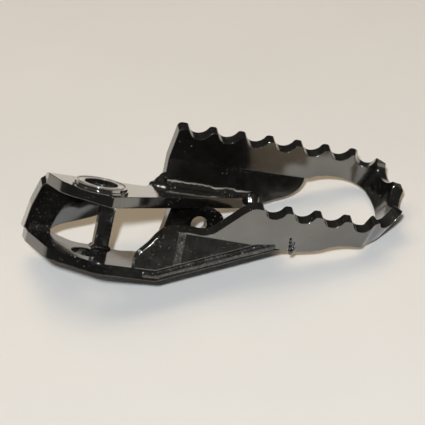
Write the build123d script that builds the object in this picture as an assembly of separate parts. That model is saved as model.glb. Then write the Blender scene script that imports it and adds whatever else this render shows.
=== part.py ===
from build123d import *
import math
import os

# Serrated motorcycle foot peg, a weldment of bent steel plate.
# Units mm. Origin: on the pivot axis, midway between the two ears.
# +X outboard along the tread, +Y toward the rear leg, +Z out of the tread (teeth up).

os.makedirs("parts", exist_ok=True)

# ---------------- driving dimensions ----------------
T = 4.0                # plate thickness everywhere
LEAN = 26.0            # pivot axis leans this far off vertical, toward +Y
GAP = 19.4             # clear gap between the two ears
BORE_R = 6.0           # pivot hole radius in both ears
BOSS_R = 10.0          # raised boss ring on the upper ear
BOSS_H = 1.9
TIP_Z = 25.65          # height of the tooth tips above the pivot
Y_REAR = 33.7          # outer face of the rear leg
Y_FRONT = -10.3        # outer face of the front leg
PITCH = 11.0           # tooth pitch on the straight legs
TOOTH_X0 = 31.5        # first rear tooth
FRONT_TOOTH_X0 = 52.7  # innermost front tooth
SCALLOP_R = 4.05
SCALLOP_D = 3.6
TIP_ROUND = 1.35
LEG_X0 = 29.0          # inboard end of the rear leg
SEAM_X = 28.3          # butt seam between front leg and its root gusset
FLARE = 18.0           # the round end leans outward by this much (degrees)
END_D = 3.8            # depth of the notches round the end
RAMP_U0 = 21.3         # where the lower arm bends up
RAMP_SLOPE = 0.40
W_REAR_IN = 21.46      # inner face of the rear skirt, measured across the bracket
CREASE_FRONT_Z = 10.65 # bend line of the front leg, outer face, at x = 26.5
CREASE_FRONT_SLOPE = -0.035
STRUT = (4.0, 9.5, 8.0, 12.0)   # u0, u1, w0, w1 of the spacer strut
GUSSET_W = 9.0         # front face of the cross gusset
GUSSET_HOLE_R = 3.0

SL = math.sin(math.radians(LEAN))
CL = math.cos(math.radians(LEAN))
H_IN = GAP / 2.0
H_OUT = GAP / 2.0 + T


def P(u, w, h):
    # bracket coordinates (u along X, w across, h along the pivot axis) to model coordinates
    return (u, w * CL + h * SL, -w * SL + h * CL)


def bracket_plane(h):
    return Plane(origin=P(0, 0, h), x_dir=(1, 0, 0), z_dir=(0, SL, CL))


def across_plane(w):
    # sketch x = u, sketch y = h, extrusion goes toward -w
    return Plane(origin=P(0, w, 0), x_dir=(1, 0, 0), z_dir=(0, -CL, SL))


def side_plane(y):
    # sketch x = X, sketch y = Z, extrusion goes toward -Y
    return Plane(origin=(0, y, 0), x_dir=(1, 0, 0), z_dir=(0, -1, 0))


def poly_prism(plane, pts, amount):
    face = make_face(Polyline(*[tuple(p) for p in pts], close=True))
    return extrude(plane * face, amount)


def round_poly(pts, radii):
    # polygon with selected corners rounded; returns a face in the XY plane
    n = len(pts)
    edges = []
    prev_end = None
    first_start = None
    for i in range(n):
        x0, y0 = pts[i - 1]
        x1, y1 = pts[i]
        x2, y2 = pts[(i + 1) % n]
        r = radii[i]
        if r > 0:
            d1 = (x0 - x1, y0 - y1)
            d2 = (x2 - x1, y2 - y1)
            l1 = math.hypot(*d1)
            l2 = math.hypot(*d2)
            d1 = (d1[0] / l1, d1[1] / l1)
            d2 = (d2[0] / l2, d2[1] / l2)
            ang = math.acos(max(-1, min(1, d1[0] * d2[0] + d1[1] * d2[1])))
            t = r / math.tan(ang / 2)
            s = (x1 + d1[0] * t, y1 + d1[1] * t)
            e = (x1 + d2[0] * t, y1 + d2[1] * t)
            bx, by = d1[0] + d2[0], d1[1] + d2[1]
            bl = math.hypot(bx, by)
            dist = r / math.sin(ang / 2)
            c = (x1 + bx / bl * dist, y1 + by / bl * dist)
            m = (x1 + bx / bl * (dist - r), y1 + by / bl * (dist - r))
        else:
            s = e = (x1, y1)
            m = None
        if prev_end is not None:
            if math.hypot(s[0] - prev_end[0], s[1] - prev_end[1]) > 1e-6:
                edges.append(Line(prev_end, s))
        else:
            first_start = s
        if m is not None:
            edges.append(ThreePointArc(s, m, e))
        prev_end = e
    edges.append(Line(prev_end, first_start))
    return make_face(edges)


def solid_of(shape):
    s = shape.solids()
    return max(s, key=lambda q: q.volume)


def save(name, shape):
    sol = solid_of(shape)
    sol.label = name
    export_step(sol, "parts/" + name + ".step")


# ---------------- tread loop ----------------
# Outer face of the hairpin band at mid height, rear leg -> round end -> front leg.
# The legs stand upright; the round end leans outward, its notches cut square to the plate.
end_curve = [
    (88.0, 33.7), (99.17, 33.0), (105.3, 29.9), (108.9, 26.0), (110.5, 21.4), (111.1, 15.0), (110.5, 8.2), (108.1, 2.1),
    (103.8, -3.8), (96.3, -8.45), (84.0, -10.3),
]
XL = -5.0
MID_Z = 20.0
outer_spline = Spline(*end_curve, tangents=[(1, 0), (-1, 0)])
NS = 36


def smooth01(v):
    v = max(0.0, min(1.0, v))
    return v * v * (3 - 2 * v)


def flare_at(q):
    return math.radians(FLARE) * smooth01((q - 0.05) / 0.31) * (1.0 - smooth01((q - 0.62) / 0.38))


def frame_at(q):
    # point on the outer face at mid height, unit tangent, outward normal, lean
    p = outer_spline.position_at(q)
    t = outer_spline.tangent_at(q)
    return p.X, p.Y, t.X, t.Y, -t.Y, t.X, flare_at(q)


def level_curve(z, inner):
    pts = []
    for i in range(NS + 1):
        px, py, tx, ty, nx, ny, lean = frame_at(i / NS)
        off = (z - MID_Z) * math.tan(lean) - (T / math.cos(lean) if inner else 0.0)
        pts.append((px + nx * off, py + ny * off))
    return pts


def band_section(z):
    po = level_curve(z, False)
    pi = level_curve(z, True)
    lo = [
        Line((LEG_X0, Y_REAR), po[0]), Spline(*po, tangents=[(1, 0), (-1, 0)]), Line(po[-1], (XL, Y_FRONT)),
        Line((XL, Y_FRONT), (XL, Y_FRONT + T)), Line((XL, Y_FRONT + T), pi[-1]),
        Spline(*pi, tangents=[(1, 0), (-1, 0)]), Line(pi[0], (LEG_X0, Y_REAR - T)), Line((LEG_X0, Y_REAR - T), (LEG_X0, Y_REAR))]
    return Plane.XY.offset(z) * make_face(lo)


TOP_Z = TIP_Z + 1.0
band = loft([band_section(6.0), band_section(TOP_Z)], ruled=True)
band = band - Pos(40.0, 12.0, TIP_Z + 5.0) * Box(108.0, 60.0, 10.0)
band = band - Pos(96.0, 32.0, TIP_Z + 5.0) * Box(6.0, 8.0, 10.0)

# bend lines
crease_in_z = (CL * (Y_REAR - T) - W_REAR_IN) / SL
crease_out_z = (CL * Y_REAR - (W_REAR_IN + T)) / SL
END_BOTTOM = 14.45

# lower outline of the rear half: straight along the bend, then up past the nose to the end band
rear_low = Polyline((LEG_X0 - 5, 0), (LEG_X0 - 5, crease_in_z), (80.6, crease_in_z))
rear_low_curve = Spline((80.6, crease_in_z), (83.5, 12.0), (85.7, 13.2), (89.3, 14.2), (94.0, END_BOTTOM),
                        tangents=[(1, -0.25), (1, 0.0)])
rear_cut = extrude(side_plane(60.0) * make_face([
    rear_low, rear_low_curve, Line((94.0, END_BOTTOM), (130, END_BOTTOM)), Line((130, END_BOTTOM), (130, 0)),
    Line((130, 0), (LEG_X0 - 5, 0))]), 60.0 - 8.0)
front_low = [(40.0, 0.0), (130, 0.0), (130, END_BOTTOM), (95.0, END_BOTTOM)]
front_curve = Spline((95.0, END_BOTTOM), (86.3, 14.2), (82.6, 12.9), (79.1, 10.9), (74.5, 9.6), (66.0, 8.9),
                     tangents=[(-1, 0), (-1, -0.03)])
front_cut = extrude(side_plane(8.0) * make_face([
    Polyline((66.0, 8.9), (66.0, 0.0), (130, 0.0), (130, END_BOTTOM), (95.0, END_BOTTOM)), front_curve]), 40.0)
# everything of the front band below its bend line, inboard of the opening
slope = CREASE_FRONT_SLOPE


def crease_front(x):
    return CREASE_FRONT_Z + slope * (x - 26.5)


front_cut2 = poly_prism(side_plane(8.0), [
    (XL - 5, 0), (66.0, 0), (66.0, crease_front(66.0) - 0.5), (XL - 5, crease_front(XL - 5) - 0.5)], 40.0)
band = band - rear_cut - front_cut - front_cut2

# rear skirt: the part below the bend, leaning with the bracket
rear_sec = make_face(Polyline(
    (Y_REAR, crease_out_z + 1.2), (Y_REAR - T, crease_in_z + 1.2), (Y_REAR - T, crease_in_z),
    P(0, W_REAR_IN, H_IN)[1:], P(0, W_REAR_IN + T, H_IN)[1:], (Y_REAR, crease_out_z), close=True))
yz = Plane(origin=(LEG_X0, 0, 0), x_dir=(0, 1, 0), z_dir=(1, 0, 0))
rear_skirt = extrude(yz * rear_sec, 56.0)
h_cr = 23.8
nose = [(81.9, h_cr + 1.2), (81.9, 22.2), (81.3, 20.3), (79.9, 18.3), (77.8, 16.5), (75.0, 15.0), (71.6, 13.6), (67.5, 11.6), (63.0, H_IN)]
nose_keep = extrude(across_plane(40.0) * make_face([
    Polyline((63.0, H_IN), (LEG_X0, H_IN), (LEG_X0, h_cr + 6), (81.2, h_cr + 6), (81.9, h_cr + 1.2)),
    Spline(*nose)]), 40.0)
rear_skirt = rear_skirt & nose_keep
# front skirt, extruded along its slightly falling bend line
zf = CREASE_FRONT_Z
zfi = (CL * (Y_FRONT + T) - (CL * Y_FRONT - SL * zf + T)) / SL
w_fo = CL * Y_FRONT - SL * zf


def skirt_pt(w, h):
    return P(0, w, h)[1:]


front_sec = make_face(Polyline(
    (Y_FRONT, zf + 0.9), (Y_FRONT, zf), skirt_pt(w_fo, -16.0), skirt_pt(w_fo + T, -16.0),
    (Y_FRONT + T, zfi), (Y_FRONT + T, zf + 0.9), close=True))
sk_dir = Vector(1, 0, slope).normalized()
k0 = 26.5 - 22.0
start = Plane(origin=(k0, 0, slope * (k0 - 26.5)), x_dir=(0, 1, 0), z_dir=(1, 0, 0))
front_skirt = extrude(start * front_sec, amount=64.0, dir=sk_dir)


def ramp_top(u):
    return -H_IN + (RAMP_SLOPE * (u - RAMP_U0) if u > RAMP_U0 else 0.0)


# keep the skirt above the lower arm's top face and inside the root outline
skirt_keep_pts = [(13.7, -H_IN), (RAMP_U0, -H_IN), (62.0, ramp_top(62.0)), (70.5, 5.2), (70.5, 12.0), (24.0, 12.0)]
root_curve = Spline((24.0, 12.0), (23.4, 6.3), (20.3, 3.2), (18.4, 0.4), (17.2, -1.2), (15.3, -3.2), (14.3, -4.5), (13.6, -6.8), (13.7, -H_IN))
skirt_keep = extrude(across_plane(20.0) * make_face([Polyline(*skirt_keep_pts), root_curve]), 60.0)
front_skirt = front_skirt & skirt_keep

# top outline of the front leg inboard of its teeth
front_top = Spline((21.0, 8.0), (22.2, 8.95), (23.8, 9.9), (25.8, 10.55), (30.4, 11.1), (35.4, 10.7), (38.6, 11.6), (41.4, 14.6),
                   (46.1, 21.0), (49.4, 24.7), (51.2, TIP_Z))
front_top_cut = extrude(side_plane(8.0) * make_face([
    front_top, Polyline((51.2, TIP_Z), (51.2, 40.0), (XL - 5, 40.0), (XL - 5, 8.0), (21.0, 8.0))]), 40.0)
front_skirt = front_skirt - front_top_cut
band = band - front_top_cut

# tread scallops: one round notch between neighbouring teeth, cut square to the plate
cutters = []


def notch(x, y, tx, ty, lean=0.0, r=SCALLOP_R, d=SCALLOP_D):
    # round notch with softened lips, so that the tooth tips come out rounded;
    # (x, y) is on the outer face at mid height, (tx, ty) runs along the band
    nx, ny = -ty, tx
    tip = (TIP_Z - MID_Z) / math.cos(lean)
    lip = TIP_ROUND
    xc = math.sqrt(2 * (r + lip) * d - d * d)
    cz = tip - d + r
    px = xc * r / (r + lip)
    pz = cz + (tip - lip - cz) * r / (r + lip)

    def lip_mid(s):
        # middle of the lip arc: between straight up and the direction of the big circle's centre
        ax, az = -s * xc, cz - (tip - lip)
        al = math.hypot(ax, az)
        mx, mz = ax / al, az / al + 1.0
        ml = math.hypot(mx, mz)
        return (s * xc + lip * mx / ml, tip - lip + lip * mz / ml)

    face = make_face([
        ThreePointArc((-xc, tip), lip_mid(-1), (-px, pz)),
        ThreePointArc((-px, pz), (0, tip - d), (px, pz)),
        ThreePointArc((px, pz), lip_mid(1), (xc, tip)),
        Polyline((xc, tip), (xc, tip + 4), (-xc, tip + 4), (-xc, tip))])
    return extrude(local_plane(x, y, tx, ty, lean) * face, 9.0, both=True)


def local_plane(x, y, tx, ty, lean):
    # in the middle of the plate: sketch x along the band, sketch y up the plate
    nx, ny = -ty, tx
    h = T / 2 / math.cos(lean)
    return Plane(origin=(x - nx * h, y - ny * h, MID_Z), x_dir=(tx, ty, 0),
                 z_dir=(-nx * math.cos(lean), -ny * math.cos(lean), math.sin(lean)))


def tip_trim(x, y, tx, ty, lean):
    # squares the top of one tooth of the leaning end to its plate
    tip = (TIP_Z - MID_Z) / math.cos(lean)
    return extrude(local_plane(x, y, tx, ty, lean) * Pos(0, tip + 2) * Rectangle(5.0, 4.0), 4.0, both=True)


for k in range(6):
    cutters.append(notch(TOOTH_X0 + PITCH * (k + 0.5), Y_REAR, 1, 0))
for k in range(3):
    cutters.append(notch(FRONT_TOOTH_X0 + PITCH * (k + 0.5), Y_FRONT, -1, 0))
# round the end: share of the curve's length, notch radius; teeth stand between
end_notches = [(0.191, 3.5), (0.353, 6.15), (0.5485, 7.1), (0.7395, 5.6), (0.9035, 3.95)]
end_teeth = [0.259, 0.447, 0.65, 0.829]
for q, r in end_notches:
    x, y, tx, ty, nx, ny, lean = frame_at(q)
    cutters.append(notch(x, y, tx, ty, lean, r=r, d=END_D))
for q in end_teeth:
    x, y, tx, ty, nx, ny, lean = frame_at(q)
    cutters.append(tip_trim(x, y, tx, ty, lean))
loop = band + rear_skirt + front_skirt
for c in cutters:
    loop = loop - c
# rounded upper corner at the rear leg's inboard end
CR = 1.7
corner = make_face([
    ThreePointArc((LEG_X0, TIP_Z - CR), (LEG_X0 + CR * (1 - math.sqrt(0.5)), TIP_Z - CR * (1 - math.sqrt(0.5))), (LEG_X0 + CR, TIP_Z)),
    Polyline((LEG_X0 + CR, TIP_Z), (LEG_X0 + CR, TIP_Z + 2), (LEG_X0 - 2, TIP_Z + 2), (LEG_X0 - 2, TIP_Z - CR), (LEG_X0, TIP_Z - CR))])
loop = loop - extrude(side_plane(40.0) * corner, 16.0)
# split at the butt seam: inboard of it is the separate root gusset
left_box = Pos(SEAM_X - 50.0, -20.0, 0) * Box(100.0, 54.0, 80.0)
front_root = (loop & left_box)
front_root = solid_of(front_root)
loop = loop - left_box
loop = solid_of(loop)

# ---------------- upper arm plate: ear, arm and bent web ----------------
BEND_W = 13.7
BEND_RO = 6.0
ear_pts = [(-15.6, BEND_W), (-12.7, 1.2), (2.05, -11.45), (66.0, W_REAR_IN), (27.2, W_REAR_IN), (19.4, BEND_W)]
ear_r = [0, 11.0, 1.2, 0, 0, 4.0]
upper = extrude(bracket_plane(H_IN) * round_poly(ear_pts, ear_r), T)
# bend between ear and web
bc = (BEND_W, H_OUT - BEND_RO)


def arc_pt(r, deg):
    t = math.radians(deg)
    return (bc[0] + r * math.sin(t), bc[1] + r * math.cos(t))


TURN = 90.0 - LEAN
sec = make_face([
    Line(arc_pt(BEND_RO - T, 0), arc_pt(BEND_RO, 0)),
    ThreePointArc(arc_pt(BEND_RO, 0), arc_pt(BEND_RO, TURN / 2), arc_pt(BEND_RO, TURN)),
    Line(arc_pt(BEND_RO, TURN), arc_pt(BEND_RO - T, TURN)),
    ThreePointArc(arc_pt(BEND_RO - T, TURN), arc_pt(BEND_RO - T, TURN / 2), arc_pt(BEND_RO - T, 0))])
wh = Plane(origin=(-18.6, 0, 0), x_dir=(0, CL, -SL), z_dir=(1, 0, 0))
bend = extrude(wh * sec, 38.0)
WEB_YO = P(0, *arc_pt(BEND_RO, TURN))[1]
WEB_YI = WEB_YO - T
WEB_ZT = P(0, *arc_pt(BEND_RO, TURN))[2]
# web: upright plate, full depth inboard, lower edge rising outboard
web_low = Spline((-8.9, -19.6), (-7.6, -17.4), (-5.4, -15.6), (-2.4, -14.0), (3.6, -11.0), (8.0, -8.2), (19.4, WEB_ZT))
web_pts = Polyline((19.4, WEB_ZT), (-16.8, WEB_ZT), (-18.2, -9.0), (-18.5, -22.5), (-8.9, -22.5), (-8.9, -19.6))
web = extrude(side_plane(WEB_YO) * make_face([web_pts, web_low]), T)
bend_side = poly_prism(side_plane(40.0), [(-15.6, 30), (-15.6, 2.5), (-16.85, WEB_ZT - 0.3), (-16.85, -10), (19.4, -10), (19.4, 30)], 60.0)
bend = bend & bend_side
upper = upper + bend + web
# the web stops on the lower ear's inner face
lower_half = extrude(bracket_plane(-H_IN) * Rectangle(300, 300), -60)
upper = upper - lower_half
bore = extrude(bracket_plane(-60) * Circle(BORE_R), 120)
upper = solid_of(upper - bore)

# ---------------- lower arm plate: ear and rising arm ----------------
lo_pts = [(-17.4, 29.3), (-17.9, 20.0), (-14.8, -1.0), (0.6, w_fo), (RAMP_U0, w_fo), (RAMP_U0, 11.2), (14.0, 8.6), (9.0, 9.4),
          (3.6, 12.2), (-0.2, 12.0), (-3.4, 13.9), (-6.1, 18.4), (-8.7, 24.0), (-8.9, 29.3)]
lo_r = [2.0, 6.0, 9.0, 8.0, 0, 0, 3.0, 3.0, 0, 3.0, 4.0, 4.0, 0, 1.0]
lower = extrude(bracket_plane(-H_OUT) * round_poly(lo_pts, lo_r), T)
lower = lower - bore
# rising arm: constant plate thickness, from the front leg back to behind the cross gusset, square at its outer end
ra = math.atan(RAMP_SLOPE)
th = T / math.cos(ra)
U1 = 66.5
ramp_prof = make_face(Polyline(
    (RAMP_U0 - 0.0, -H_IN), (U1, ramp_top(U1)), (U1, ramp_top(U1) - th),
    (RAMP_U0 + T * math.tan(ra / 2), -H_OUT), (RAMP_U0, -H_OUT), close=True))
ramp = extrude(across_plane(40.0) * ramp_prof, 80.0)
w_tip = w_fo + SL * 0.035 * (U1 - RAMP_U0)   # front edge follows the front leg's bend line
plan = extrude(bracket_plane(-60) * round_poly(
    [(RAMP_U0, w_fo), (U1, w_tip), (U1, 14.0), (30.0, 14.0), (RAMP_U0, 11.2)], [0, 0, 4, 6, 0]), 120)
lower = solid_of(lower + (ramp & plan))
lower = solid_of(lower - loop - front_root)

# ---------------- spacer strut, cross gusset, boss ring ----------------
u0, u1, w0, w1 = STRUT
strut = extrude(bracket_plane(-H_IN) * round_poly([(u0, w0), (u1, w0), (u1, w1), (u0, w1)], [0.6, 0.6, 0.6, 0.6]), GAP)
gp = [(27.2, ramp_top(27.2)), (28.6, 2.0), (29.9, H_IN), (50.2, H_IN), (50.2, ramp_top(50.2))]
gusset = extrude(across_plane(GUSSET_W + T) * round_poly(gp, [0, 0, 0, 4.5, 0]), T)
gusset = gusset - extrude(across_plane(GUSSET_W + T + 1) * Pos(41.2, 3.6) * Circle(GUSSET_HOLE_R), T + 2)
gusset = solid_of(gusset - upper - lower)
boss = extrude(bracket_plane(H_OUT) * Circle(BOSS_R), 0.8)
boss = boss + extrude(bracket_plane(H_OUT) * Circle(BOSS_R - 0.5), BOSS_H)
boss = boss - extrude(bracket_plane(H_OUT + BOSS_H - 0.35) * (Circle(BOSS_R - 1.3) - Circle(BOSS_R - 1.9)), 1.0)
boss = solid_of(boss - bore)

plates = [loop, front_root, upper, lower, strut, gusset, boss]


def minus_plates(s):
    for p in plates:
        s = s - p
    return solid_of(s)


# ---------------- weld beads ----------------
yz_at = lambda x: Plane(origin=(x, 0, 0), x_dir=(0, CL, -SL), z_dir=(1, 0, 0))  # sketch x = w, sketch y = h


def bead_arc(wc, hc, dw, dh, bulge=0.25):
    # fillet section in the corner (wc, hc) with legs dw along w and dh along h, slightly convex
    m = (wc + dw * (0.5 + bulge * 0.5), hc + dh * (0.5 + bulge * 0.5))
    return make_face([Line((wc, hc), (wc + dw, hc)), ThreePointArc((wc + dw, hc), m, (wc, hc + dh)), Line((wc, hc + dh), (wc, hc))])


weld_rear = extrude(yz_at(LEG_X0) * bead_arc(W_REAR_IN, H_OUT, -2.8, 2.8), 62.6 - LEG_X0)
weld_rear = minus_plates(weld_rear)
# heavy fillet that ties the inboard end of the rear leg down to the arm
root_prof = make_face([
    Polyline((25.2, 13.3), (25.2, 11.6), (LEG_X0, 11.6), (LEG_X0, 18.4)),
    Spline((LEG_X0, 18.4), (28.0, 16.2), (26.8, 14.5), (25.2, 13.3))])
weld_root = extrude(across_plane(W_REAR_IN + 3.2) * root_prof, 5.6)
weld_root = minus_plates(weld_root - weld_rear)

# bead along the lower arm under the front skirt
def lip(u, dh):
    return (u, ramp_top(u) + dh)


fb_prof = make_face(Polyline(
    (14.2, -H_IN - 2.8), (14.2, -H_IN + 0.4), (RAMP_U0, -H_IN + 0.4), lip(62.0, 0.4), lip(62.0, -2.8),
    (RAMP_U0 + 0.6, -H_IN - 2.8), close=True))
weld_front = extrude(across_plane(w_fo + 2.0) * fb_prof, 2.9)
weld_front = minus_plates(weld_front)

weld_web = extrude(yz_at(-16.6) * make_face([
    Polyline(
    ((WEB_YI + H_IN * SL) / CL, -H_IN), ((WEB_YI + H_IN * SL) / CL - 3.4, -H_IN),
    ((WEB_YI + H_IN * SL) / CL + 1.3 - 1.6, -H_IN + 3.2), ((WEB_YI + H_IN * SL) / CL + 3.0, -H_IN + 3.4), close=True)]), 7.6)
weld_web = minus_plates(weld_web)


def collar(u0, u1, w0, w1, h0, sign, leg):
    # small fillet all round a rectangular bar where it meets a plate
    base = bracket_plane(h0) * round_poly(
        [(u0 - leg, w0 - leg), (u1 + leg, w0 - leg), (u1 + leg, w1 + leg * 0.4), (u0 - leg, w1 + leg * 0.4)],
        [leg, leg, leg * 0.4, leg * 0.4])
    return extrude(base, sign * leg, taper=38)


weld_strut_low = minus_plates(collar(u0, u1, w0, w1, -H_IN, 1, 1.1) & extrude(bracket_plane(-H_IN) * round_poly(lo_pts, lo_r), 10))
weld_strut_top = minus_plates(collar(u0, u1, w0, w1, H_IN, -1, 1.1))

weld_gus_top = minus_plates(extrude(yz_at(30.5) * make_face(Polyline(
    (GUSSET_W + T, H_IN), (GUSSET_W + T + 2.6, H_IN), (GUSSET_W + T, H_IN - 2.6), close=True)), 15.0))
gb = make_face(Polyline((28.4, ramp_top(28.4)), (48.8, ramp_top(48.8)), (48.8, ramp_top(48.8) + 2.6), (28.4, ramp_top(28.4) + 2.6), close=True))
weld_gus_low = extrude(across_plane(GUSSET_W) * gb, 2.6)
weld_gus_low = minus_plates(weld_gus_low)

# ground butt seam, a thin proud strip down the outer face of the front leg
seam_loop = solid_of(loop + front_root)
weld_seam = (Pos(0, -0.35, 0.0) * (seam_loop & (Pos(SEAM_X, -4.0, 0) * Box(2.6, 40.0, 80.0)))) - seam_loop
weld_seam = minus_plates(solid_of(weld_seam) - weld_front)

weld_tip = Pos(*P(62.5, 19.4, H_OUT - 0.6)) * Sphere(3.0)
weld_tip = minus_plates(weld_tip - weld_rear)

save("tread_loop", loop)
save("front_root_gusset", front_root)
save("upper_arm_plate", upper)
save("lower_arm_plate", lower)
save("spacer_strut", strut)
save("cross_gusset", gusset)
save("pivot_boss_ring", boss)
save("weld_rear_leg", weld_rear)
save("weld_rear_root", weld_root)
save("weld_front_leg", weld_front)
save("weld_web", weld_web)
save("weld_strut_lower", weld_strut_low)
save("weld_strut_upper", weld_strut_top)
save("weld_gusset_upper", weld_gus_top)
save("weld_gusset_lower", weld_gus_low)
save("weld_front_seam", weld_seam)
save("weld_arm_tip", weld_tip)
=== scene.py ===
import math

import bpy
import bmesh
import numpy as np
from mathutils import Matrix, Vector, noise


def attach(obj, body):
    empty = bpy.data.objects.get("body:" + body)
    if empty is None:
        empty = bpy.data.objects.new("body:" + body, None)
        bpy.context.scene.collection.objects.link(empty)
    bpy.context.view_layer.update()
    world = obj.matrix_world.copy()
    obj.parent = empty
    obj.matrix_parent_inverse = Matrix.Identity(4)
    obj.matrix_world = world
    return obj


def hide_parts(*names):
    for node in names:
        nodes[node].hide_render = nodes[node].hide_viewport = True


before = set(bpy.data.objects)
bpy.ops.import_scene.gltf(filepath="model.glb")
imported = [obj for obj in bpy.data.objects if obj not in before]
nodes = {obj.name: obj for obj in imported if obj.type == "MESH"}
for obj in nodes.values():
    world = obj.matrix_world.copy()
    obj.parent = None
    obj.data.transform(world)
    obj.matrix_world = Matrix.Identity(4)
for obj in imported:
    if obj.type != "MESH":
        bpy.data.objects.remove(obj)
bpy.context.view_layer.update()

# ---------------------------------------------------------------- geometry of the part, metres
SL, CL = math.sin(math.radians(26.0)), math.cos(math.radians(26.0))
MM = 0.001


def P(u, w, h):
    # bracket coordinates in mm (u along X, w across, h along the pivot axis) to the row frame in metres
    return Vector((u, w * CL + h * SL, -w * SL + h * CL)) * MM


AXIS = Vector((0, SL, CL))          # pivot axis, out of the upper ear
ACROSS = Vector((0, CL, -SL))       # toward the rear leg
W_FO = CL * -10.3 - SL * 10.65      # front face of the bracket
H_IN, H_OUT = 9.7, 13.7
RAMP_U0, RAMP_SLOPE = 21.3, 0.40


def ramp_top(u):
    return -H_IN + (RAMP_SLOPE * (u - RAMP_U0) if u > RAMP_U0 else 0.0)


# ---------------------------------------------------------------- material helpers
class Nodes:
    def __init__(self, name):
        self.mat = bpy.data.materials.new(name)
        self.mat.use_nodes = True
        self.t = self.mat.node_tree
        self.t.nodes.clear()
        self.out = self.t.nodes.new("ShaderNodeOutputMaterial")

    def n(self, kind, **kw):
        node = self.t.nodes.new(kind)
        for k, v in kw.items():
            setattr(node, k, v)
        return node

    def link(self, a, b):
        self.t.links.new(a, b)

    def put(self, socket, value):
        if hasattr(value, "is_output") or hasattr(value, "links"):
            self.link(value, socket)
        else:
            socket.default_value = value

    def coords(self):
        return self.n("ShaderNodeTexCoord").outputs["Object"]

    def noise(self, vec, scale, detail=4.0, rough=0.55, dist=0.0):
        k = self.n("ShaderNodeTexNoise")
        self.link(vec, k.inputs["Vector"])
        k.inputs["Scale"].default_value = scale
        k.inputs["Detail"].default_value = detail
        k.inputs["Roughness"].default_value = rough
        k.inputs["Distortion"].default_value = dist
        return k.outputs["Fac"]

    def voronoi(self, vec, scale, feature="F1"):
        k = self.n("ShaderNodeTexVoronoi", feature=feature)
        self.link(vec, k.inputs["Vector"])
        k.inputs["Scale"].default_value = scale
        return k.outputs["Distance"], k.outputs["Color"]

    def ramp(self, fac, stops, mode="LINEAR"):
        k = self.n("ShaderNodeValToRGB")
        k.color_ramp.interpolation = mode
        while len(k.color_ramp.elements) < len(stops):
            k.color_ramp.elements.new(0.5)
        for e, (p, c) in zip(k.color_ramp.elements, stops):
            e.position = p
            e.color = (c, c, c, 1) if isinstance(c, (int, float)) else (*c, 1)
        self.link(fac, k.inputs["Fac"])
        return k.outputs["Color"]

    def math(self, op, a, b=0.0, clamp=False):
        k = self.n("ShaderNodeMath", operation=op, use_clamp=clamp)
        self.put(k.inputs[0], a)
        self.put(k.inputs[1], b)
        return k.outputs[0]

    def mix(self, fac, a, b):
        k = self.n("ShaderNodeMix", data_type="RGBA")
        self.put(k.inputs[0], fac)
        self.put(k.inputs[6], a if not isinstance(a, tuple) else (*a, 1))
        self.put(k.inputs[7], b if not isinstance(b, tuple) else (*b, 1))
        return k.outputs[2]

    def bump(self, height, strength, dist, normal=None):
        k = self.n("ShaderNodeBump")
        self.link(height, k.inputs["Height"])
        k.inputs["Strength"].default_value = strength
        k.inputs["Distance"].default_value = dist
        if normal is not None:
            self.link(normal, k.inputs["Normal"])
        return k.outputs["Normal"]


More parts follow.
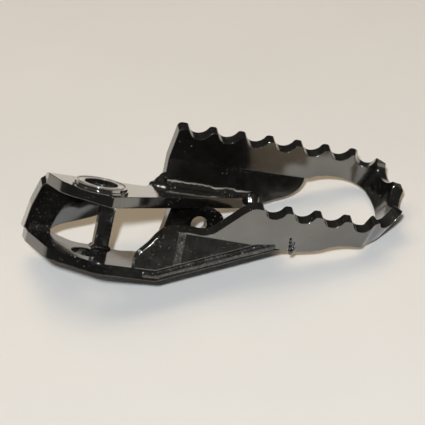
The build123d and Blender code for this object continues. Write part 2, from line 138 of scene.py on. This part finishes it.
def coated_metal(name, tone=0.23, rough=(0.07, 0.15), edge=0.00050, peel=0.10, ripple=None, specks=1.0, mottled=0.0, rings=False, toe=False, glance=0.9):
    # gloss black coating over steel: dark mirror-like base, orange peel, handling haze, fine dust, thin coating with a
    # painted highlight on sharp edges, and on welds an optional painted highlight line along the toe
    m = Nodes(name)
    co = m.coords()
    big = m.noise(co, 45.0, 3.0)
    mid = m.noise(co, 260.0, 5.0, 0.6)
    fine = m.noise(co, 1500.0, 3.0, 0.6)
    bevel = m.n("ShaderNodeBevel", samples=6)
    bevel.inputs["Radius"].default_value = edge
    geo = m.n("ShaderNodeNewGeometry")
    # colour: base tone, broad variation, sharp edges lightened in patches (partly worn coating, partly painted
    # highlight), dust
    base = m.mix(m.ramp(big, [(0.35, 0.0), (0.70, 1.0)]), (tone * 0.86, tone * 0.85, tone * 0.82), (tone * 1.12, tone * 1.10, tone * 1.06))
    dot = m.n("ShaderNodeVectorMath", operation="DOT_PRODUCT")
    m.link(bevel.outputs["Normal"], dot.inputs[0])
    m.link(geo.outputs["Normal"], dot.inputs[1])
    # painted highlight: edges found by the bevel turn lighter in patches, standing for bright lit edges as well as
    # coating worn thin
    edge_wear_highlight_mask = m.ramp(dot.outputs["Value"], [(0.80, 1.0), (0.985, 0.0)])
    worn_and_lit_edge = m.math("MULTIPLY", edge_wear_highlight_mask, m.ramp(mid, [(0.40, 0.0), (0.62, 0.75)]))
    base = m.mix(worn_and_lit_edge, base, (0.38, 0.37, 0.35))
    # the coating mirrors almost everything at a glancing angle
    lw = m.n("ShaderNodeLayerWeight")
    lw.inputs["Blend"].default_value = 0.5
    base = m.mix(m.ramp(lw.outputs["Facing"], [(0.62, 0.0), (0.92, glance)]), base, (0.92, 0.90, 0.86))
    d1, c1 = m.voronoi(co, 620.0)
    d2, c2 = m.voronoi(co, 1400.0)
    sep1 = m.n("ShaderNodeSeparateColor")
    m.link(c1, sep1.inputs[0])
    sep2 = m.n("ShaderNodeSeparateColor")
    m.link(c2, sep2.inputs[0])
    s1 = m.math("MULTIPLY", m.ramp(d1, [(0.10, 1.0), (0.22, 0.0)]), m.ramp(sep1.outputs[0], [(0.93, 0.0), (0.96, 0.8)]))
    s2 = m.math("MULTIPLY", m.ramp(d2, [(0.14, 1.0), (0.30, 0.0)]), m.ramp(sep2.outputs[1], [(0.80, 0.0), (0.86, 1.0)]))
    patchy = m.ramp(m.noise(co, 70.0, 3.0, 0.6, 0.4), [(0.42, 0.12), (0.68, 1.0)])
    dust_and_toe_highlight = m.math("MULTIPLY", m.math("MAXIMUM", s1, m.math("MULTIPLY", s2, 0.55)), m.math("MULTIPLY", patchy, specks), True)
    if mottled:
        blotch = m.ramp(m.noise(co, 900.0, 4.0, 0.7), [(0.47, 0.0), (0.60, 1.0)])
        base = m.mix(m.math("MULTIPLY", blotch, mottled), base, (0.62, 0.61, 0.59))
    r = m.n("ShaderNodeMapRange")
    m.link(mid, r.inputs["Value"])
    r.inputs["From Min"].default_value = 0.30
    r.inputs["From Max"].default_value = 0.72
    r.inputs["To Min"].default_value = rough[0]
    r.inputs["To Max"].default_value = rough[1]
    # relief: orange peel, fine grit, and weld ripples where there are any
    nrm = m.bump(m.noise(co, 520.0, 2.0, 0.5), peel, 0.00008, bevel.outputs["Normal"])
    nrm = m.bump(fine, peel * 0.5, 0.00004, nrm)
    if ripple is not None:
        pitch, strength, direction = ripple
        mp = m.n("ShaderNodeMapping")
        m.link(co, mp.inputs["Vector"])
        q = Vector(direction).to_track_quat("X", "Z").inverted().to_euler()
        mp.inputs["Rotation"].default_value = q
        wv = m.n("ShaderNodeTexWave", wave_type="BANDS", bands_direction="X", wave_profile="SAW")
        m.link(mp.outputs["Vector"], wv.inputs["Vector"])
        wv.inputs["Scale"].default_value = 0.314 / pitch
        wv.inputs["Distortion"].default_value = 2.5
        wv.inputs["Detail"].default_value = 2.0
        wv.inputs["Detail Scale"].default_value = 2.0
        nrm = m.bump(wv.outputs["Fac"], strength, 0.00020, nrm)
        nrm = m.bump(m.noise(co, 900.0, 3.0), strength, 0.00010, nrm)
    if rings:
        # turned steps: fine circles round the pivot axis
        cr = m.n("ShaderNodeVectorMath", operation="CROSS_PRODUCT")
        m.link(co, cr.inputs[0])
        cr.inputs[1].default_value = AXIS
        ln = m.n("ShaderNodeVectorMath", operation="LENGTH")
        m.link(cr.outputs[0], ln.inputs[0])
        wave = m.math("SINE", m.math("MULTIPLY", ln.outputs["Value"], 2 * math.pi / 0.00085))
        nrm = m.bump(wave, 0.5, 0.00012, nrm)
    if toe:
        # painted highlight: a pale wavy line along the upper toe of the fillet, standing for the thin bright reflection
        # the weld catches, mixed in with the dust as pale powder
        dh = m.n("ShaderNodeVectorMath", operation="DOT_PRODUCT")
        m.link(co, dh.inputs[0])
        dh.inputs[1].default_value = AXIS
        wav = m.math("MULTIPLY", m.math("SUBTRACT", m.noise(co, 130.0, 3.0, 0.6), 0.5), 0.0022)
        off = m.math("ABSOLUTE", m.math("ADD", m.math("SUBTRACT", dh.outputs["Value"], 0.01575), wav))
        toe_highlight_line = m.math("MULTIPLY", m.ramp(m.math("MULTIPLY", off, 1000.0), [(0.10, 1.0), (0.34, 0.0)]), m.ramp(mid, [(0.36, 0.25), (0.60, 1.0)]))
        dust_and_toe_highlight = m.math("MAXIMUM", dust_and_toe_highlight, m.math("MULTIPLY", toe_highlight_line, 0.8))
    b = m.n("ShaderNodeBsdfPrincipled")
    m.link(base, b.inputs["Base Color"])
    b.inputs["Metallic"].default_value = 1.0
    m.link(r.outputs["Result"], b.inputs["Roughness"])
    b.inputs["Coat Weight"].default_value = 0.35
    b.inputs["Coat Roughness"].default_value = 0.06
    m.link(nrm, b.inputs["Normal"])
    powder = m.n("ShaderNodeBsdfDiffuse")
    powder.inputs["Color"].default_value = (0.46, 0.44, 0.38, 1)
    mx = m.n("ShaderNodeMixShader")
    # this mask holds the dust specks and, on a weld toe, the painted highlight line
    m.link(dust_and_toe_highlight, mx.inputs[0])
    m.link(b.outputs[0], mx.inputs[1])
    m.link(powder.outputs[0], mx.inputs[2])
    # a veil of fine dust lies on everything
    veil = m.n("ShaderNodeBsdfDiffuse")
    veil.inputs["Color"].default_value = (0.30, 0.29, 0.27, 1)
    mv = m.n("ShaderNodeMixShader")
    m.link(m.ramp(m.noise(co, 120.0, 4.0, 0.62), [(0.35, 0.006), (0.75, 0.022)]), mv.inputs[0])
    m.link(mx.outputs[0], mv.inputs[1])
    m.link(veil.outputs[0], mv.inputs[2])
    m.link(mv.outputs[0], m.out.inputs[0])
    return m.mat


plate_mat = coated_metal("coated_plate", tone=0.21)
lower_mat = coated_metal("coated_lower_arm", tone=0.13, rough=(0.10, 0.20), specks=1.6, glance=0.0)
cut_mat = coated_metal("coated_loop", tone=0.21, rough=(0.09, 0.18), glance=0.0)
boss_mat = coated_metal("coated_boss", tone=0.42, rough=(0.06, 0.14), edge=0.0003, specks=0.7, rings=True)
weld_mat = coated_metal("coated_weld", tone=0.22, rough=(0.10, 0.20), edge=0.0002, peel=0.2, ripple=(1.6, 0.30, (1, 0, 0)), specks=2.4)
# the rear-leg weld gets a painted highlight line along its upper toe
toe_highlight_mat = coated_metal("coated_weld_toe_painted_highlight", tone=0.22, rough=(0.10, 0.20), edge=0.0002, peel=0.2, ripple=(1.6, 0.30, (1, 0, 0)), specks=2.4, toe=True)
weld_y_mat = coated_metal("coated_weld_across", tone=0.24, rough=(0.07, 0.17), edge=0.0002, peel=0.12, ripple=(1.8, 0.04, (0, 1, -0.4)), specks=2.0)
bead_mat = coated_metal("coated_bead", tone=0.09, rough=(0.20, 0.36), edge=0.0002, peel=0.5, ripple=(2.0, 0.30, (1, 0, 0)), specks=1.2, mottled=0.16, glance=0.3)
seam_mat = coated_metal("ground_seam", tone=0.15, rough=(0.20, 0.38), edge=0.0002, peel=0.6, specks=2.6, mottled=0.42)
drip_mat = coated_metal("paint_run", tone=0.10, rough=(0.06, 0.12), edge=0.0001, specks=0.4)

# ---------------------------------------------------------------- CAD nodes
look = {
    "tread_loop": cut_mat, "front_root_gusset": cut_mat, "upper_arm_plate": plate_mat, "lower_arm_plate": lower_mat,
    "spacer_strut": plate_mat, "cross_gusset": plate_mat, "pivot_boss_ring": boss_mat,
    "weld_rear_leg": toe_highlight_mat, "weld_rear_root": weld_mat, "weld_front_leg": weld_mat, "weld_web": weld_mat,
    "weld_strut_lower": weld_mat, "weld_strut_upper": weld_mat, "weld_gusset_upper": weld_mat, "weld_gusset_lower": weld_mat,
    "weld_front_seam": seam_mat, "weld_arm_tip": weld_y_mat,
}
for name, ob in nodes.items():
    if ob.type != "MESH":
        continue
    ob.data.materials.clear()
    ob.data.materials.append(look[name])

clouds = bpy.data.textures.new("weld_relief", "CLOUDS")
clouds.noise_scale = 0.0016
clouds.noise_depth = 1


def soften(ob, voxel, smooth, relief):
    # weld metal: rounded and slightly lumpy
    r = ob.modifiers.new("remesh", "REMESH")
    r.mode = "VOXEL"
    r.voxel_size = voxel
    r.use_smooth_shade = True
    s = ob.modifiers.new("smooth", "SMOOTH")
    s.iterations = smooth
    s.factor = 0.5
    if relief:
        d = ob.modifiers.new("relief", "DISPLACE")
        d.texture = clouds
        d.texture_coords = "LOCAL"
        d.strength = relief
        d.mid_level = 0.5


for name in ("weld_web", "weld_strut_lower", "weld_strut_upper", "weld_gusset_upper", "weld_gusset_lower", "weld_rear_leg"):
    soften(nodes[name], 0.00018, 8, 0.00022)
soften(nodes["weld_arm_tip"], 0.00022, 4, 0.0008)


# ---------------------------------------------------------------- weld beads and small pieces
def mesh_object(name, verts, faces, mat, smooth=True):
    me = bpy.data.meshes.new(name)
    me.from_pydata([tuple(v) for v in verts], [], faces)
    me.update()
    me.materials.append(mat)
    if smooth:
        for p in me.polygons:
            p.use_smooth = True
    ob = bpy.data.objects.new(name, me)
    bpy.context.scene.collection.objects.link(ob)
    return ob


def bead(name, path, out, width, height, mat, pitch=1.5, amp=0.10, seed=1, ring=20):
    # a rippled bead along 'path' (metres): width across, height along 'out'
    length = [0.0]
    for a, b in zip(path, path[1:]):
        length.append(length[-1] + (b - a).length)
    total = length[-1]
    n = max(24, int(total / 0.00018))
    verts, faces = [], []
    for i in range(n + 1):
        s = total * i / n
        k = 0
        while k < len(path) - 2 and length[k + 1] < s:
            k += 1
        f = (s - length[k]) / max(length[k + 1] - length[k], 1e-9)
        c = path[k].lerp(path[k + 1], f)
        ka, kb = max(k - 1, 0), min(k + 2, len(path) - 1)
        t = (path[kb] - path[ka]).normalized()
        side = t.cross(out).normalized()
        ph = (s / MM / pitch + 0.25 * noise.noise(Vector((s * 300, seed, 0)))) % 1.0
        ripple = 1.0 + amp * (1.0 - ph) ** 1.5 - amp * 0.5
        wob = 1.0 + 0.10 * noise.noise(Vector((s * 220, seed * 3.1, 4.0)))
        end = min(1.0, min(s, total - s) / (width * 0.5 * MM) + 0.02)
        cap = math.sqrt(max(0.0, 1.0 - (1.0 - end) ** 2)) if end < 1 else 1.0
        lag = -0.35 * MM
        for j in range(ring):
            a = 2 * math.pi * j / ring
            x, y = math.cos(a), math.sin(a)
            p = c + side * (x * width / 2 * MM * wob * cap) + out * (y * height * MM * ripple * wob * cap)
            p += t * (lag * (x * x) * (1 if 0 < i < n else 0))
            p += out * (0.05 * MM * noise.noise(p * 1400.0))
            verts.append(p)
    for i in range(n):
        for j in range(ring):
            a, b = i * ring + j, i * ring + (j + 1) % ring
            faces.append((a, b, b + ring, a + ring))
    faces.append(tuple(reversed(range(ring))))
    faces.append(tuple(range(n * ring, (n + 1) * ring)))
    ob = mesh_object(name, verts, faces, mat)
    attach(ob, "root")
    return ob


OUT_FRONT = -ACROSS
pts = [P(u, W_FO + 0.55, ramp_top(u) - 1.85) for u in (16.4, 18.5, RAMP_U0 - 0.5, RAMP_U0 + 1.0, 25, 30, 36, 42, 48, 54, 60, 63.5)]
front_bead = bead("front_leg_bead", pts, OUT_FRONT, 3.1, 0.75, bead_mat, pitch=2.2, amp=0.04, seed=5)
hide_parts("weld_front_leg")


def blob(name, balls, mat, voxel=0.00025, smooth=26, relief=0.0):
    # weld metal built from overlapping ellipsoids, merged and smoothed
    bm = bmesh.new()
    for c, r, sc in balls:
        m = Matrix.Translation(c) @ Matrix.Rotation(math.radians(-26.0), 4, "X") @ Matrix.Diagonal((*[r * s * MM for s in sc], 1.0))
        bmesh.ops.create_icosphere(bm, subdivisions=3, radius=1.0, matrix=m)
    me = bpy.data.meshes.new(name)
    bm.to_mesh(me)
    bm.free()
    me.materials.append(mat)
    ob = bpy.data.objects.new(name, me)
    bpy.context.scene.collection.objects.link(ob)
    soften(ob, voxel, smooth, relief)
    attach(ob, "root")
    return ob


root = blob("rear_root_weld", [
    (P(27.6, 20.6, 14.4), 2.6, (1.0, 1.0, 1.0)), (P(28.4, 21.4, 16.0), 1.8, (1.0, 1.0, 1.2)), (P(26.6, 19.0, 13.7), 2.8, (1.1, 1.0, 0.55)),
    (P(25.2, 20.4, 13.2), 2.1, (1.0, 1.0, 0.8)), (P(28.8, 18.4, 13.7), 2.9, (1.0, 1.0, 0.6)), (P(28.9, 21.6, 17.0), 1.2, (0.8, 0.8, 1.3)),
    (P(26.0, 21.6, 12.2), 1.5, (1.0, 0.8, 1.2))], weld_y_mat)
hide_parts("weld_rear_root")

# a small run in the coating, hanging on the front leg
run = blob("coating_run", [
    (Vector((67.5, -10.35, 14.4)) * MM, 0.55, (0.9, 0.7, 1.7)), (Vector((67.9, -10.35, 13.0)) * MM, 0.75, (0.8, 0.7, 1.5)),
    (Vector((69.3, -10.35, 12.6)) * MM, 0.60, (0.8, 0.7, 1.3)), (Vector((68.4, -10.45, 11.2)) * MM, 0.80, (0.8, 0.8, 1.5)),
    (Vector((69.9, -10.40, 10.8)) * MM, 0.62, (0.8, 0.8, 1.5)), (Vector((69.3, -10.45, 9.5)) * MM, 1.05, (1.0, 0.85, 1.1)),
    (Vector((69.4, -10.20, 8.2)) * MM, 0.75, (0.9, 0.9, 1.1))], drip_mat, voxel=0.00012, smooth=4, relief=0.0)

# ---------------------------------------------------------------- table
N = Vector((-0.354, 0.04, 0.934)).normalized()
low = 1e9
for ob in nodes.values():
    if ob.type == "MESH" and not ob.name.startswith("weld"):
        for v in ob.data.vertices:
            low = min(low, N.dot(ob.matrix_world @ v.co))
centre = Vector((0.047, 0.007, 0.0))
centre = centre - N * (N.dot(centre) - low)
ex = (Vector((1, 0, 0)) - N * N.x).normalized()
ey = N.cross(ex)
SIZE = 0.6
verts = [centre + ex * (SIZE * a) + ey * (SIZE * b) for a, b in ((-1, -1), (1, -1), (1, 1), (-1, 1))]
fm = Nodes("table_top")
co = fm.coords()
grain = fm.noise(co, 14.0, 4.0)
tone = fm.mix(fm.ramp(grain, [(0.3, 0.0), (0.7, 1.0)]), (0.785, 0.775, 0.76), (0.815, 0.805, 0.79))
fb = fm.n("ShaderNodeBsdfPrincipled")
fm.link(tone, fb.inputs["Base Color"])
fb.inputs["Roughness"].default_value = 0.55
fb.inputs["Specular IOR Level"].default_value = 0.3
fm.link(fm.bump(fm.noise(co, 900.0, 3.0), 0.05, 0.0001), fb.inputs["Normal"])
# the table is one-sided, so that a view from below its plane still shows the part
gx = fm.n("ShaderNodeNewGeometry")
tr = fm.n("ShaderNodeBsdfTransparent")
mx = fm.n("ShaderNodeMixShader")
# far from the part it fades into the backdrop, so that no edge or dark corner shows
dist = fm.n("ShaderNodeVectorMath", operation="DISTANCE")
fm.link(co, dist.inputs[0])
dist.inputs[1].default_value = centre
fade = fm.n("ShaderNodeMapRange", interpolation_type="SMOOTHSTEP")
fm.link(dist.outputs["Value"], fade.inputs["Value"])
fade.inputs["From Min"].default_value = 0.22
fade.inputs["From Max"].default_value = 0.55
fm.link(fm.math("MAXIMUM", gx.outputs["Backfacing"], fade.outputs["Result"]), mx.inputs[0])
fm.link(fb.outputs[0], mx.inputs[1])
fm.link(tr.outputs[0], mx.inputs[2])
fm.link(mx.outputs[0], fm.out.inputs[0])
floor = mesh_object("table", verts, [(0, 1, 2, 3)], fm.mat, smooth=False)

# ---------------------------------------------------------------- camera
RIGHT = Vector((0.9392118, -0.1600666, 0.3037431))
UP = Vector((-0.1310568, 0.6505492, 0.7480707))
BACK = Vector((-0.3173410, -0.7424045, 0.5900257))
cam_data = bpy.data.cameras.new("camera")
cam_data.sensor_fit = "HORIZONTAL"
cam_data.sensor_width = 36.0
cam_data.lens = 175.87
cam_data.clip_start = 0.01
cam_data.clip_end = 20.0
cam = bpy.data.objects.new("camera", cam_data)
rot = Matrix((RIGHT, UP, BACK)).transposed().to_4x4()
CAM_POS = Vector((-0.19171242, -0.54266379, 0.44453639))
cam.matrix_world = Matrix.Translation(CAM_POS) @ rot
bpy.context.scene.collection.objects.link(cam)
bpy.context.scene.camera = cam


# ---------------------------------------------------------------- light
def area(name, pos, target, size, power, colour, size_y=None, shape="RECTANGLE"):
    d = bpy.data.lights.new(name, "AREA")
    d.shape = shape
    d.size = size
    if shape == "RECTANGLE":
        d.size_y = size_y or size
    d.energy = power
    d.color = colour
    o = bpy.data.objects.new(name, d)
    z = (Vector(pos) - Vector(target)).normalized()
    o.matrix_world = Matrix.Translation(Vector(pos)) @ z.to_track_quat("Z", "Y").to_matrix().to_4x4()
    bpy.context.scene.collection.objects.link(o)
    return o


aim = Vector((0.047, 0.007, 0.0))
FAR = 1.7
flash_pos = aim + (CAM_POS - aim) * FAR + (UP * 0.085 - RIGHT * 0.06) * FAR
area("flash", flash_pos, aim, 0.075, 14.6, (0.90, 0.94, 0.97))
overhead = area("overhead", aim + N * 1.05 - ex * 0.05 + ey * 0.45, aim, 0.9, 4.8, (1.0, 0.77, 0.50), 0.9)
overhead.visible_glossy = False      # softened by the ceiling; its outline is not mirrored in the coating
area("lamp", aim + N * 1.2 - ex * 0.75 + ey * 0.35, aim, 0.14, 0.7, (1.0, 0.84, 0.62))

# ---------------------------------------------------------------- surroundings
world = bpy.data.worlds.new("room")
bpy.context.scene.world = world
world.use_nodes = True
wt = world.node_tree
wt.nodes.clear()
wo = wt.nodes.new("ShaderNodeOutputWorld")
wc = wt.nodes.new("ShaderNodeTexCoord")
dotn = wt.nodes.new("ShaderNodeVectorMath")
dotn.operation = "DOT_PRODUCT"
wt.links.new(wc.outputs["Generated"], dotn.inputs[0])
dotn.inputs[1].default_value = N
rp = wt.nodes.new("ShaderNodeValToRGB")
mr = wt.nodes.new("ShaderNodeMapRange")
mr.inputs["From Min"].default_value = -1.0
mr.inputs["From Max"].default_value = 1.0
wt.links.new(dotn.outputs["Value"], mr.inputs["Value"])
wt.links.new(mr.outputs["Result"], rp.inputs["Fac"])
els = rp.color_ramp.elements
els[0].position, els[0].color = 0.0, (0.07, 0.065, 0.06, 1)
els[1].position, els[1].color = 1.0, (0.08, 0.07, 0.06, 1)
for p_, c_ in ((0.48, (0.06, 0.056, 0.05, 1)), (0.60, (0.035, 0.033, 0.030, 1)), (0.80, (0.05, 0.045, 0.04, 1))):
    e = els.new(p_)
    e.color = c_
room = wt.nodes.new("ShaderNodeBackground")
wt.links.new(rp.outputs["Color"], room.inputs["Color"])
room.inputs["Strength"].default_value = 1.0
back = wt.nodes.new("ShaderNodeBackground")
back.inputs["Color"].default_value = (0.74, 0.70, 0.65, 1)
back.inputs["Strength"].default_value = 1.0
lp = wt.nodes.new("ShaderNodeLightPath")
ms = wt.nodes.new("ShaderNodeMixShader")
wt.links.new(lp.outputs["Is Camera Ray"], ms.inputs[0])
wt.links.new(room.outputs[0], ms.inputs[1])
wt.links.new(back.outputs[0], ms.inputs[2])
wt.links.new(ms.outputs[0], wo.inputs[0])

bpy.context.scene.view_settings.view_transform = "Standard"
bpy.context.scene.view_settings.look = "None"
bpy.context.scene.view_settings.exposure = 0.0
